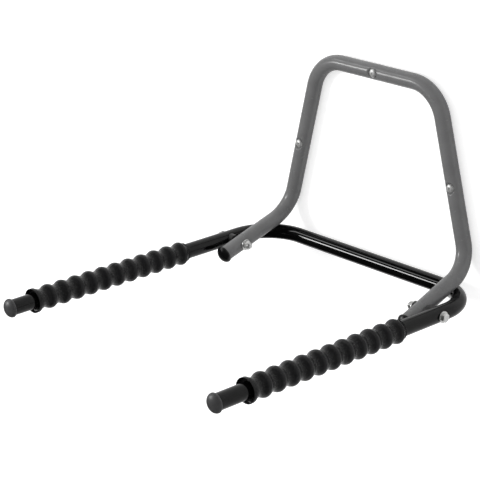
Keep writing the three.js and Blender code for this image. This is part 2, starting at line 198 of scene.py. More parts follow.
class Graph:
    """The nodes of one material, or of the world."""

    def __init__(self, name: str, world: bool = False) -> None:
        """Starts a material, or a world, that holds nothing but its output.

        Args:
            name: Its name.
            world: Whether it is a world.
        """
        self.owner = (bpy.data.worlds if world else bpy.data.materials).new(name)
        self.owner.use_nodes = True
        self.tree = self.owner.node_tree
        self.tree.nodes.clear()
        self.output = self.node("ShaderNodeOutputWorld" if world else "ShaderNodeOutputMaterial")

    def node(
        self,
        kind: str,
        settings: dict[str, object] | None = None,
        inputs: dict[str | int, object] | None = None,
    ) -> bpy.types.Node:
        """Adds one node.

        Args:
            kind: The node's type.
            settings: Its own properties, set first.
            inputs: Values, or links from a Value or a socket, by input name or number.

        Returns:
            The node.
        """
        node = self.tree.nodes.new(kind)
        for key, setting in (settings or {}).items():
            setattr(node, key, setting)
        for key, value in (inputs or {}).items():
            source = value.socket if isinstance(value, Value) else value
            if isinstance(source, bpy.types.NodeSocket):
                self.tree.links.new(source, node.inputs[key])
            else:
                node.inputs[key].default_value = source
        return node

    def place(self) -> bpy.types.NodeSocket:
        """The place on the object, in metres."""
        return self.node("ShaderNodeTexCoord").outputs["Object"]

    def noise(self, scale: float, detail: float = 2.0, roughness: float = 0.5) -> Value:
        """Soft noise about 0.5.

        Args:
            scale: Lumps in each metre.
            detail: Octaves.
            roughness: How strong the finer octaves are.

        Returns:
            The noise.
        """
        inputs = {
            "Vector": self.place(),
            "Scale": scale,
            "Detail": detail,
            "Roughness": roughness,
        }
        return Value(self, self.node("ShaderNodeTexNoise", {}, inputs).outputs["Fac"])

    def cells(self, scale: float, output: str = "Distance") -> Value:
        """Voronoi cells.

        Args:
            scale: Cells in each metre.
            output: The node's output that is read.

        Returns:
            The pattern.
        """
        inputs = {"Vector": self.place(), "Scale": scale}
        return Value(self, self.node("ShaderNodeTexVoronoi", {}, inputs).outputs[output])

    def distance(self, point: Vector) -> Value:
        """The distance from a fixed point, in metres."""
        settings = {"operation": "DISTANCE"}
        node = self.node("ShaderNodeVectorMath", settings, {0: self.place(), 1: tuple(point)})
        return Value(self, node.outputs["Value"])

    def axis(self, name: str) -> Value:
        """One coordinate of the place on the object."""
        node = self.node("ShaderNodeSeparateXYZ", {}, {0: self.place()})
        return Value(self, node.outputs[name])

    def blend(self, share: Value, first: object, second: object) -> bpy.types.NodeSocket:
        """Mixes two colours.

        Args:
            share: 0 for the first and 1 for the second.
            first: A colour or a colour socket.
            second: Another.

        Returns:
            The mixed colour.
        """
        colours = [c if isinstance(c, bpy.types.NodeSocket) else (*c, 1.0) for c in (first, second)]
        node = self.node(
            "ShaderNodeMix",
            {"data_type": "RGBA"},
            {0: share, 6: colours[0], 7: colours[1]},
        )
        return node.outputs[2]

    def bump(self, height: Value, depth: float, strength: float = 1.0) -> bpy.types.NodeSocket:
        """A bumped normal.

        Args:
            height: The relief, from 0 to 1.
            depth: What 1 stands for, in metres.
            strength: How much of it is used.

        Returns:
            The normal.
        """
        inputs = {"Height": height, "Distance": depth, "Strength": strength}
        return self.node("ShaderNodeBump", {}, inputs).outputs["Normal"]

    def background_rays(self, mirrored: float = 1.0) -> Value:
        """How much of the background a ray sees.

        Args:
            mirrored: The share for rays off gloss and through glass.

        Returns:
            1 for the camera's rays, that share for those, and 0 for soft light.
        """
        rays = self.node("ShaderNodeLightPath")
        names = ("Is Camera Ray", "Is Glossy Ray", "Is Transmission Ray")
        camera, glossy, through = (Value(self, rays.outputs[name]) for name in names)
        return (camera + (glossy + through) * mirrored).smaller(1.0)

    def mixed(self, share: Value, first: bpy.types.Node, second: bpy.types.Node) -> bpy.types.Node:
        """Mixes two shaders: 0 is the first and 1 the second."""
        inputs = {0: share, 1: first.outputs[0], 2: second.outputs[0]}
        return self.node("ShaderNodeMixShader", {}, inputs)

    def close(self, shader: bpy.types.Node) -> bpy.types.ID:
        """Ends the graph with a shader, and returns the material or the world."""
        self.tree.links.new(shader.outputs[0], self.output.inputs["Surface"])
        return self.owner

    def surface(self, **inputs: object) -> bpy.types.Material:
        """Finishes the material with one Principled shader.

        Args:
            inputs: The shader's inputs, with _ for each space in their names.

        Returns:
            The material.
        """
        named = {key.replace("_", " "): value for key, value in inputs.items()}
        return self.close(self.node("ShaderNodeBsdfPrincipled", {}, named))


# ---- Finishes ----


@dataclass(frozen=True)
class PowderCoat:
    """Sprayed and baked paint on steel tube, with scuffs round what is bolted to it.

    Args:
        name: The material's name.
        colour: The paint.
        deep: The paint where it lies thickest.
        roughness: Of the clean paint.
        peel: Depth of its orange peel, in metres.
        specular: How strongly it mirrors, as the shader's specular level.
        contacts: Points round which fastened pieces have rubbed it.
        reach: How far from those points the rubbing shows.
    """

    name: str
    colour: Colour
    deep: Colour
    roughness: float
    peel: float
    specular: float
    contacts: tuple[Vector, ...]
    reach: float = 9.5 * MM

    def build(self) -> bpy.types.Material:
        """Makes the material.

        Returns:
            The material.
        """
        graph = Graph(self.name)
        mottle = graph.noise(38, 3).ramp(0.3, 0.7)
        speck = graph.noise(2600, 1).ramp(0.62, 0.75)
        dust = graph.noise(140, 4, 0.65).ramp(0.55, 0.8)
        paint = graph.blend(mottle, self.colour, self.deep)
        lighter = tuple(min(1.0, 1.25 * c + 0.006) for c in self.colour)
        paint = graph.blend((speck * 0.35 + dust * 0.2).smaller(1.0), paint, lighter)
        near = graph.distance(self.contacts[0])
        for contact in self.contacts[1:]:
            near = near.smaller(graph.distance(contact))
        scuff = near.ramp(self.reach, self.reach * 0.72) * graph.noise(1900, 3, 0.7).ramp(0.6, 0.66)
        steel = graph.blend(scuff * 0.8, paint, (0.42, 0.42, 0.43))
        rough = self.roughness + (mottle - 0.5) * 0.05 + dust * 0.07 + scuff * 0.12
        peel = graph.noise(620, 2, 0.4) * 0.75 + graph.noise(2100, 1) * 0.25
        return graph.surface(
            Base_Color=steel,
            Roughness=rough,
            Metallic=scuff * 0.7,
            Specular_IOR_Level=self.specular,
            Normal=graph.bump(peel - scuff * 0.4, self.peel),
        )


@dataclass(frozen=True)
class SleeveVinyl:
    """Soft ribbed vinyl: satin on the crests, duller in the valleys, which are painted lighter,
    partly as dust and partly as a painted sheen.

    Args:
        name: The material's name.
        axis_x: The arm that it is on.
        valley: Radius of the valleys.
        crest: Radius of the crests.
    """

    name: str
    axis_x: float
    valley: float
    crest: float

    def build(self) -> bpy.types.Material:
        """Makes the material.

        Returns:
            The material.
        """
        graph = Graph(self.name)
        across = graph.axis("X") - self.axis_x
        up = graph.axis("Z") + PIVOT_DROP
        radius = (across * across + up * up) ** 0.5
        high = radius.ramp(self.valley, self.crest)
        mottle = graph.noise(70, 3)
        grain = graph.noise(3200, 2, 0.6)
        # The valleys are painted lighter: partly dust, partly a painted sheen for the light that
        # catches them.
        dust = (1 - high) * graph.noise(420, 4, 0.6).ramp(0.35, 0.75)
        rub = high * graph.noise(260, 4, 0.7).ramp(0.58, 0.72)
        black = graph.blend(mottle.ramp(0.3, 0.7), (0.011, 0.011, 0.0115), (0.0145, 0.0145, 0.015))
        dust_and_sheen = graph.blend(dust * 0.5, black, (0.034, 0.034, 0.033))
        colour = graph.blend(rub * 0.35, dust_and_sheen, (0.024, 0.024, 0.025))
        relief = grain * 0.7 + graph.noise(900, 2) * 0.3
        return graph.surface(
            Base_Color=colour,
            Roughness=0.2 + (mottle - 0.5) * 0.1 + dust * 0.12 - rub * 0.05,
            Specular_IOR_Level=0.15,
            Normal=graph.bump(relief, 0.03 * MM, 0.6),
        )


@dataclass(frozen=True)
class MouldedPlastic:
    """Moulded plastic with a fine spark-eroded grain.

    Args:
        name: The material's name.
        colour: The plastic.
        roughness: Of its grain.
        grain: Depth of the grain, in metres.
    """

    name: str
    colour: Colour
    roughness: float
    grain: float

    def build(self) -> bpy.types.Material:
        """Makes the material.

        Returns:
            The material.
        """
        graph = Graph(self.name)
        flow = graph.noise(110, 3, 0.6)
        grain = graph.cells(2600)
        rub = graph.noise(700, 4, 0.7).ramp(0.6, 0.72)
        lighter = tuple(1.5 * c + 0.004 for c in self.colour)
        colour = graph.blend(flow.ramp(0.3, 0.7), self.colour, tuple(1.2 * c for c in self.colour))
        colour = graph.blend(rub * 0.3, colour, lighter)
        return graph.surface(
            Base_Color=colour,
            Roughness=self.roughness + (flow - 0.5) * 0.1 - rub * 0.05,
            Normal=graph.bump(grain * 0.6 + graph.noise(1500, 2) * 0.4, self.grain, 0.8),
        )


@dataclass(frozen=True)
class ZincPlate:
    """Zinc plating over turned and pressed steel, bright or satin.

    Args:
        name: The material's name.
        metal: How metallic the clean plating is.
        roughness: Of the clean plating.
        bright: The clean plating.
        dull: The plating where it has hazed.
    """

    name: str
    metal: float
    roughness: float
    bright: Colour = (0.7, 0.7, 0.685)
    dull: Colour = (0.48, 0.485, 0.5)

    def build(self) -> bpy.types.Material:
        """Makes the material.

        Returns:
            The material.
        """
        graph = Graph(self.name)
        haze = graph.noise(420, 4, 0.6).ramp(0.35, 0.75)
        spangle = graph.cells(1500, "Color")
        lines = graph.noise(5200, 2, 0.7)
        colour = graph.blend(haze * 0.6, self.bright, self.dull)
        return graph.surface(
            Base_Color=colour,
            Metallic=self.metal - haze * 0.2,
            Roughness=self.roughness + haze * 0.12 + spangle * 0.05 + (lines - 0.5) * 0.08,
            Normal=graph.bump(lines * 0.6 + graph.noise(900, 2) * 0.4, 0.02 * MM, 0.8),
        )


# ---- Shaping ----


def deselect() -> None:
    """Leaves nothing selected, in object mode."""
    if bpy.context.mode != "OBJECT":
        bpy.ops.object.mode_set(mode="OBJECT")
    bpy.ops.object.select_all(action="DESELECT")


def along(direction: Vector, place: Vector) -> Matrix:
    """The matrix that stands a piece made along +Z at a place, along a direction."""
    turn = direction.to_track_quat("Z", "Y").to_matrix().to_4x4()
    return Matrix.Translation(place) @ turn


def pivot_point(x: float, ahead: float = 0.0) -> Vector:
    """A point on the pivot axis, or this far in front of it at the same height."""
    return Vector((x, -PIVOT_OUT - ahead, -PIVOT_DROP))


class Piece:
    """One mesh that is being shaped with the modelling operators."""

    def __init__(self, obj: bpy.types.Object) -> None:
        """Takes hold of an object."""
        self.obj = obj

    @classmethod
    def started(cls, name: str, place: Matrix | None = None) -> Piece:
        """Takes the primitive that was just added, names it and puts it in place.

        Args:
            name: The piece's name.
            place: Where its own origin goes.

        Returns:
            The piece, in object mode.
        """
        piece = cls(bpy.context.active_object)
        piece.obj.name = name
        piece.obj.data.name = name
        piece.put(place or Matrix())
        return piece

    @classmethod
    def ring(cls, name: str, radius: float, sides: int, place: Matrix | None = None) -> Piece:
        """An open circle about +Z, in edit mode and all selected.

        Args:
            name: The piece's name.
            radius: Of the circle.
            sides: Its number of vertices.
            place: Where its centre goes, and how it is turned.

        Returns:
            The piece.
        """
        deselect()
        bpy.ops.mesh.primitive_circle_add(vertices=sides, radius=radius, fill_type="NOTHING")
        piece = cls.started(name, place)
        piece.edit()
        bpy.ops.mesh.select_all(action="SELECT")
        return piece

    @classmethod
    def prism(cls, name: str, radius: float, length: float, sides: int, place: Matrix) -> Piece:
        """A closed prism along +Z, centred on its place.

        Args:
            name: The piece's name.
            radius: From its middle to its corners.
            length: Its height.
            sides: Its number of sides.
            place: Where its centre goes, and how it is turned.

        Returns:
            The piece, in object mode.
        """
        deselect()
        bpy.ops.mesh.primitive_cylinder_add(vertices=sides, radius=radius, depth=length)
        return cls.started(name, place)

    @classmethod
    def turned(cls, name: str, profile: Profile, sides: int, closed: bool = False) -> Piece:
        """A turned shape about +Z, drawn out ring by ring.

        Args:
            name: The piece's name.
            profile: Radius and height of each ring. A radius of 0 at either end is a pole.
            sides: Sides of each ring.
            closed: Whether the last ring meets the first, as on a washer.

        Returns:
            The piece, in object mode, with its faces outwards.
        """
        rings = [station for station in profile if station[0] > 0]
        if closed:
            rings.append(rings[0])
        start = Matrix.Translation((0, 0, rings[0][1]))
        piece = cls.ring(name, rings[0][0], sides, start)
        if profile[0][0] == 0:
            piece.draw_pole(rings[0], profile[0][1])
            piece.pick(lambda co: abs(math.hypot(co.x, co.y) - rings[0][0]) < TOUCHING)
        for before, after in zip(rings, rings[1:]):
            bpy.ops.mesh.extrude_region_move()
            piece.draw(before, after)
        if profile[-1][0] == 0:
            piece.draw_pole(rings[-1], profile[-1][1])
        piece.face_outwards()
        return piece

    def draw(self, before: tuple[float, float], after: tuple[float, float]) -> None:
        """Draws the selected ring from one station of a profile to the next.

        Args:
            before: Radius and height where it is.
            after: Radius and height where it goes.
        """
        rise = after[1] - before[1]
        if abs(rise) > 0:
            bpy.ops.transform.translate(value=(0, 0, rise))
        share = after[0] / before[0]
        if share != 1:
            centre = (0, 0, after[1])
            bpy.ops.transform.resize(value=(share, share, 1), center_override=centre)

    def draw_pole(self, ring: tuple[float, float], height: float) -> None:
        """Draws the selected ring together to a point on the axis.

        Args:
            ring: Radius and height where it is.
            height: Height of the point.
        """
        bpy.ops.mesh.extrude_region_move()
        nearly_shut = ring[0] * 0.02
        self.draw(ring, (nearly_shut, height))
        bpy.ops.mesh.merge(type="CENTER")

    def alone(self) -> None:
        """Selects this piece alone and makes it the active one, in object mode."""
        deselect()
        self.obj.select_set(True)
        bpy.context.view_layer.objects.active = self.obj

    def edit(self) -> None:
        """Opens this piece alone in edit mode, by vertices."""
        self.alone()
        bpy.ops.object.mode_set(mode="EDIT")
        bpy.ops.mesh.select_mode(type="VERT")

    def pick(self, test: Callable[[Vector], bool]) -> None:
        """Selects vertices by their place, in edit mode.

        Args:
            test: Says of a place whether a vertex there is selected.
        """
        mesh = bmesh.from_edit_mesh(self.obj.data)
        for vertex in mesh.verts:
            vertex.select = test(vertex.co)
        mesh.select_flush(True)
        mesh.select_flush(False)
        bmesh.update_edit_mesh(self.obj.data)

    def face_outwards(self) -> None:
        """Merges doubles and turns the faces outwards, and ends in object mode."""
        if bpy.context.mode != "EDIT_MESH":
            self.edit()
        bpy.ops.mesh.select_all(action="SELECT")
        bpy.ops.mesh.remove_doubles(threshold=TOUCHING)
        bpy.ops.mesh.normals_make_consistent(inside=False)
        deselect()

    def put(self, place: Matrix) -> None:
        """Moves the piece, with its place in its mesh.

        Args:
            place: Where it goes, and how it is turned.
        """
        self.alone()
        self.obj.matrix_world = place
        bpy.ops.object.transform_apply(location=True, rotation=True, scale=True)

    def modify(self, kind: str, **settings: object) -> None:
        """Adds a modifier, sets it and applies it.

        Args:
            kind: The modifier's type.
            settings: Its own properties.
        """
        self.alone()
        modifier = self.obj.modifiers.new(kind.title(), kind)
        for key, value in settings.items():
            setattr(modifier, key, value)
        bpy.ops.object.modifier_apply(modifier=modifier.name)

    def combine(self, tool: Piece, cut: Cut) -> None:
        """Cuts, crops or joins the piece with another, which is used up."""
        self.modify("BOOLEAN", object=tool.obj, operation=cut.value, solver="EXACT")
        bpy.data.objects.remove(tool.obj)

    def drill(self, radius: float, length: float, direction: Vector, place: Vector) -> None:
        """Drills a round hole centred on a place."""
        drill = Piece.prism("drill", radius, length, 48, along(direction, place))
        self.combine(drill, Cut.TAKE_AWAY)

    def soften(self, width: float, segments: int = 2, angle: float = 35) -> None:
        """Rounds the sharp edges.

        Args:
            width: Of the rounding.
            segments: Steps across it.
            angle: Edges sharper than this, in degrees, are rounded.
        """
        self.modify(
            "BEVEL",
            width=width,
            segments=segments,
            limit_method="ANGLE",
            angle_limit=math.radians(angle),
            harden_normals=False,
            miter_outer="MITER_ARC",
        )

    def reshape(self, move: Callable[[Vector], Vector]) -> None:
        """Moves each vertex by a rule, in object mode."""
        for vertex in self.obj.data.vertices:
            vertex.co = move(vertex.co)

    def thread(self, start: float, end: float, root: float, crest: float, pitch: float) -> None:
        """Cuts a helical thread about +Z, on rings that stand close together.

        Args:
            start: Where the thread starts.
            end: Where it ends.
            root: Radius at its root.
            crest: Radius at its crest.
            pitch: Rise of one turn.
        """

        def move(co: Vector) -> Vector:
            """Puts one vertex on the thread.

            Args:
                co: Where it is.

            Returns:
                Where it goes.
            """
            radius = math.hypot(co.x, co.y)
            if not start < co.z < end or radius < root * 0.5:
                return co
            turn = (co.z / pitch - math.atan2(co.y, co.x) / math.tau) % 1
            ridge = (1 - abs(2 * turn - 1)) ** 1.6
            fade = min(1, (co.z - start) / pitch, (end - co.z) / pitch)
            wanted = root + (crest - root) * ridge * fade
            return Vector((co.x * wanted / radius, co.y * wanted / radius, co.z))

        self.reshape(move)

    def copied(self, name: str, place: Matrix) -> Piece:
        """Copies the piece with its mesh.

        Args:
            name: The copy's name.
            place: Where it goes, and how it is turned.

        Returns:
            The copy.
        """
        twin = self.obj.copy()
        twin.data = self.obj.data.copy()
        bpy.context.scene.collection.objects.link(twin)
        twin.name = name
        twin.data.name = name
        piece = Piece(twin)
        piece.put(place)
        return piece

    def finish(
        self,
        body: Body,
        slot: Slot,
        material: bpy.types.Material,
        nodes: Sequence[str],
        angle: float = 32,
    ) -> None:
        """Smooths and dresses the piece, and puts it on its body in place of its solids.

        Args:
            body: What it moves with.
            slot: The record's slot of its finish. Not used.
            material: Its material.
            nodes: The solids that it stands for.
            angle: Edges sharper than this, in degrees, stay sharp.
        """
        self.alone()
        bpy.ops.object.shade_smooth_by_angle(angle=math.radians(angle))
        self.obj.data.materials.clear()
        self.obj.data.materials.append(material)
        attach(self.obj, body.value)
        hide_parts(*nodes)
        LOG.info("%s: %d faces", self.obj.name, len(self.obj.data.polygons))


# ---- Bent tube ----


@dataclass
class BentTube:
    """A tube bent on round formers.

    Args:
        name: The piece's name.
        corners: Where its straight lines meet, with its two ends.
        radii: The bend at each inner corner.
        dents: Places where the runs need close rings, for a pressed seat.
        sides: Vertices round the tube.
        bend_steps: Rings in each bend.
        coarse: Length of the steps of a plain run.
        fine: Length of the steps round a dent.
        reach: How far from a dent the fine steps go.
    """

    name: str
    corners: Sequence[Vector]
    radii: Sequence[float]
    dents: Sequence[Vector] = ()
    sides: int = 72
    bend_steps: int = 28
    coarse: float = 6 * MM
    fine: float = 0.8 * MM
    reach: float = 17 * MM

    def draw(self) -> Piece:
        """Draws a circle out along the runs and spins it round the bends.

        Returns:
            The tube's outside, open at both ends and with its faces outwards, in object mode.
        """
        place = self.corners[0]
        heading = (self.corners[1] - place).normalized()
        piece = Piece.ring(self.name, TUBE_R, self.sides, along(heading, place))
        for corner, after, radius in zip(self.corners[1:], self.corners[2:], self.radii):
            turned = (after - corner).normalized()
            angle = heading.angle(turned)
            setback = radius * math.tan(angle / 2)
            start = corner - heading * setback
            self._run(place, start)
            axis = heading.cross(turned).normalized()
            centre = start + axis.cross(heading) * radius
            # The spin operator turns clockwise about its axis.
            bpy.ops.mesh.spin(steps=self.bend_steps, angle=-angle, center=centre, axis=axis)
            place = corner + turned * setback
            heading = turned
        self._run(place, self.corners[-1])
        piece.face_outwards()
        self._check_outwards(piece)
        return piece

    def _check_outwards(self, piece: Piece) -> None:
        """Flips the open shell if its faces look at the centreline.

        Args:
            piece: The shell.
        """
        heading = (self.corners[1] - self.corners[0]).normalized()
        face = min(piece.obj.data.polygons, key=lambda f: (f.center - self.corners[0]).length)
        spoke = face.center - self.corners[0]
        spoke -= heading * spoke.dot(heading)
        if face.normal.dot(spoke) < 0:
            piece.edit()
            bpy.ops.mesh.select_all(action="SELECT")
            bpy.ops.mesh.flip_normals()
            deselect()

    def _run(self, start: Vector, end: Vector) -> None:
        """Draws the selected ring out along one straight run, finely beside dents.

        Args:
            start: Where the run starts.
            end: Where it ends.
        """
        line = end - start
        heading = line.normalized()
        marks = {0.0, line.length}
        spans = []
        for dent in self.dents:
            middle = (dent - start).dot(heading)
            off_line = (dent - start - heading * middle).length
            if off_line < 2 * TUBE_R and 0 < middle < line.length:
                span = (max(0.0, middle - self.reach), min(line.length, middle + self.reach))
                spans.append(span)
                marks.update(span)
        ordered = sorted(marks)
        for low, high in zip(ordered, ordered[1:]):
            fine = any(a - ROUNDING <= low and high <= b + ROUNDING for a, b in spans)
            steps = max(1, round((high - low) / (self.fine if fine else self.coarse)))
            step = heading * ((high - low) / steps)
            for _ in range(steps):
                bpy.ops.mesh.extrude_region_move(TRANSFORM_OT_translate={"value": step})


def hump(share: float) -> float:
    """A smooth hump that is 1 at 0 and falls to 0 at 1 and -1."""
    return (1 + math.cos(math.pi * share)) / 2


def soft_higher(first: float, second: float, radius: float) -> float:
    """The higher of two numbers, rounded where they are within a radius of each other."""
    near = max(0.0, 1 - abs(first - second) / radius)
    return max(first, second) + near * near * radius / 4


# ---- End caps ----


@dataclass(frozen=True)
class DomedCap:
    """A moulded plug with a domed end.

    Args:
        rim: Radius of the rim.
        rim_length: From the tube's end to where the dome starts.
        dome: Height of the dome above it.
        stem: Length of the stem in the tube.
        play: Between the stem and the tube.
        gap: From the tube's end to the rim's back.
        edge: Rounding of the rim's back.
    """

    rim: float
    rim_length: float
    dome: float
    stem: float
    play: float = 0.15 * MM
    gap: float = 0.7 * MM
    edge: float = 0.2 * MM

    def model(self, name: str) -> Piece:
        """Models the cap along +Z, with the tube's end at the origin.

        Args:
            name: The piece's name.

        Returns:
            The cap.
        """
        stem = TUBE_R - TUBE_WALL - self.play
        profile = [
            (0, -self.stem),
            (stem - MM, -self.stem),
            (stem, -self.stem + MM),
            (stem, self.gap),
            (self.rim - self.edge, self.gap),
            (self.rim - 0.3 * self.edge, self.gap + 0.15 * self.edge),
            (self.rim, self.gap + self.edge),
        ]
        steps = 22
        for step in range(steps):
            angle = math.pi / 2 * step / steps
            height = self.rim_length + self.dome * math.sin(angle)
            profile.append((self.rim * math.cos(angle), height))
        profile.append((0, self.rim_length + self.dome))
        return Piece.turned(name, profile, 72)

    def fit(
        self, end: str, places: dict[str, Matrix], body: Body, plastic: bpy.types.Material
    ) -> None:
        """Models the cap once and puts a copy of it into each tube end.

        Args:
            end: What it closes, arm or leg.
            places: Where each tube end is, and how it is turned, by the name of its side.
            body: What the caps move with.
            plastic: Their finish.
        """
        cap = self.model(f"{end}_cap")
        for side, place in places.items():
            twin = cap.copied(f"domed_{end}_cap_{side}", place)
            twin.finish(body, Slot.CAP, plastic, [f"{end}_end_cap_{side}"])
        bpy.data.objects.remove(cap.obj)


# ---- Wall frame ----


@dataclass
class WallFrame:
    """The grey tube frame, with its three screws and the caps on its legs.

    Args:
        zinc: Finish of the screws.
        plastic: Finish of the caps.
        top_half: From the middle to where the top bar's and an upright's lines meet.
        top_bend: Bend between the top bar and an upright.
        leg_bend: Bend between an upright and its leg.
        leg_tip: From the pivot to the end of the leg.
        side_screw_drop: Side screws below the top one.
        seat_floor: Radius of a pressed seat's floor.
        seat_flare: How much wider its mouth is.
        seat_edge: Rounding between seat and tube.
        seat_reach: How far from its middle the press moves the tube.
        swell: How much the tube widens beside a seat.
        swell_reach: How far along the tube that shows.
        sink: How far the front of the tube sinks round a seat.
        sink_reach: How far out that shows.
        screw_length: Under the head.
        head_height: Of the screws' heads.
        head_edge: Height of a head's upright rim, below its dome.
        shank: Radius of a screw's plain part.
        thread_root: Radius at the root of its thread.
        thread_crest: Radius at the crest.
        thread_pitch: Of the screws.
        taper: Length of a screw's point.
        recess: Length, width and height of the blades that cut the cross recess, which stand
            half in the head.
        recess_floor: How much of its length and width the recess keeps at its floor.
        screw_turns: How far each screw was driven round, in radians.
        cap: The cap on each leg.
    """

    zinc: bpy.types.Material
    plastic: bpy.types.Material
    top_half: float = 125 * MM
    top_bend: float = 62 * MM
    leg_bend: float = 54 * MM
    leg_tip: float = 35 * MM
    side_screw_drop: float = 149.5 * MM
    seat_floor: float = 7.3 * MM
    seat_flare: float = 2.7 * MM
    seat_edge: float = 1.3 * MM
    seat_reach: float = 22 * MM
    swell: float = 0.2 * MM
    swell_reach: float = 9 * MM
    sink: float = 0.35 * MM
    sink_reach: float = 13 * MM
    screw_length: float = 59.7 * MM
    head_height: float = 3.6 * MM
    head_edge: float = 0.9 * MM
    shank: float = 2.6 * MM
    thread_root: float = 2.15 * MM
    thread_crest: float = 3 * MM
    thread_pitch: float = 3 * MM
    taper: float = 7 * MM
    recess: tuple[float, float, float] = (6.8 * MM, 1.5 * MM, 4.4 * MM)
    recess_floor: float = 0.42
    screw_turns: dict[str, float] = field(
        default_factory=lambda: {"top": 0.3, "left": 1.1, "right": 0.75}
    )
    cap: DomedCap = field(
        default_factory=lambda: DomedCap(14.3 * MM, 1.2 * MM, 9.3 * MM, 16 * MM)
    )

    @staticmethod
    def leg_direction(side: Side) -> Vector:
        """The way a leg runs, away from the wall.

        Args:
            side: Which leg.

        Returns:
            Its direction.
        """
        flat = math.cos(LEG_SPLAY)
        return Vector(
            (
                side.sign * math.sin(LEG_SPLAY),
                -flat * math.cos(LEG_SLOPE),
                -flat * math.sin(LEG_SLOPE),
            )
        )

    def corners(self, side: Side) -> tuple[Vector, Vector, Vector]:
        """The points that set one side of the frame.

        Args:
            side: Which side.

        Returns:
            The tip of its leg, its elbow and its shoulder.
        """
        pivot = pivot_point(side.sign * LEG_X)
        leg = self.leg_direction(side)
        tip = pivot + leg * self.leg_tip
        elbow = pivot + leg * ((TUBE_R - PIVOT_OUT) / -leg.y)
        shoulder = Vector((side.sign * self.top_half, -TUBE_R, 0))
        return tip, elbow, shoulder

    def screws(self) -> dict[str, tuple[Vector, Vector]]:
        """Finds the places of the screws.

        Returns:
            Where each screw meets the wall, and the way its tube runs, by its name.
        """
        places = {"top": (Vector((0, 0, 0)), X_AXIS)}
        for side in SIDES:
            _, elbow, shoulder = self.corners(side)
            run = elbow - shoulder
            place = shoulder + run * (self.side_screw_drop / -run.z)
            places[side.name] = (Vector((place.x, 0, place.z)), run.normalized())
        return places

    def build(self, paint: bpy.types.Material) -> None:
        """Builds the tube, the screws and the caps.

        Args:
            paint: Finish of the tube.
        """
        self.build_tube(paint)
        self.build_screws()
        self.build_caps()

    def build_tube(self, paint: bpy.types.Material) -> None:
        """Bends the tube, presses the screw seats into it, drills it and paints it.

        Args:
            paint: Its finish.
        """
        left = self.corners(SIDES[0])
        right = self.corners(SIDES[1])
        seats = [
            Vector((place.x, -TUBE_R, place.z)) for place, _ in self.screws().values()
        ]
        radii = [self.leg_bend, self.top_bend, self.top_bend, self.leg_bend]
        tube = BentTube("bent_frame_tube", [*left, *reversed(right)], radii, seats).draw()
        for place, run in self.screws().values():
            self._press(tube, place, run)
        tube.modify("SOLIDIFY", thickness=TUBE_WALL, offset=-1, use_even_offset=True)
        for place, _ in self.screws().values():
            tube.drill(SCREW_BORE_R, DRILL_LENGTH, Y_AXIS, place)
        for side in SIDES:
            pivot = pivot_point(side.sign * LEG_X)
            tube.drill(BOLT_BORE_R, DRILL_LENGTH, X_AXIS, pivot)
        tube.finish(Body.FRAME, Slot.FRAME, paint, ["wall_frame"])

    def _press(self, tube: Piece, place: Vector, run: Vector) -> None:
        """Presses one dished seat into the front of the tube.

        Args:
            tube: The tube's outside.
            place: Where the screw meets the wall.
            run: The way the tube runs there.
        """
        across = run.cross(Y_AXIS).normalized()
        floor = -2 * TUBE_R + SEAT_DEPTH
        slope = SEAT_DEPTH / self.seat_flare
        front = -1.2 * TUBE_R

        def move(co: Vector) -> Vector:
            """Puts one vertex where the press leaves it.

            Args:
                co: Where it is.

            Returns:
                Where it goes.
            """
            offset = Vector((co.x - place.x, 0, co.z - place.z))
            if offset.length > self.seat_reach:
                return co
            lengthways = offset.dot(run)
            sideways = offset.dot(across)
            swell = self.swell * math.exp(-((lengthways / self.swell_reach) ** 2))
            moved = co + across * (swell * sideways / TUBE_R)
            if co.y < front:
                sink = self.sink * math.exp(-((offset.length / self.sink_reach) ** 2))
                cone = floor - max(0.0, offset.length - self.seat_floor) * slope
                moved.y = soft_higher(co.y + sink, cone, self.seat_edge)
            return moved

        tube.reshape(move)

    def build_screws(self) -> None:
        """Models one pan-head wood screw and puts a copy in each seat."""
        screw = self._screw()
        for name, (place, _) in self.screws().items():
            seat = Vector((place.x, SEAT_DEPTH - 2 * TUBE_R, place.z))
            turn = Matrix.Rotation(self.screw_turns[name], 4, "Z")
            twin = screw.copied(f"pan_screw_{name}", along(Y_AXIS, seat) @ turn)
            twin.finish(Body.FRAME, Slot.ZINC, self.zinc, [f"wall_screw_{name}"])
        bpy.data.objects.remove(screw.obj)

    def _screw(self) -> Piece:
        """Models a screw along +Z, with the underside of its head at the origin.

        Returns:
            The screw.
        """
        height = self.head_height
        edge = self.head_edge
        shank = self.shank
        point = self.screw_length
        thread_start = 2 * TUBE_R - SEAT_DEPTH - 2 * MM
        profile = [(0, -height)]
        steps = 10
        for step in range(steps - 1, -1, -1):
            angle = math.pi / 2 * step / steps
            bulge = math.cos(angle) ** 0.8
            profile.append((SCREW_HEAD_R * bulge, -edge - (height - edge) * math.sin(angle)))
        profile += [
            (SCREW_HEAD_R, -0.25 * MM),
            (SCREW_HEAD_R - 0.25 * MM, 0),
            (shank, 0),
            (shank, thread_start),
        ]
        rings = 130
        for ring in range(1, rings):
            z = thread_start + (point - thread_start) * ring / rings
            narrowing = max(0.03, min(1.0, (point - z) / self.taper))
            profile.append((shank * narrowing**0.8, z))
        profile.append((0, point))
        screw = Piece.turned("screw", profile, 40)
        full_thread = point - self.taper
        root, crest = self.thread_root, self.thread_crest
        screw.thread(thread_start, full_thread, root, crest, self.thread_pitch)
        self._cut_cross(screw, -height)
        return screw

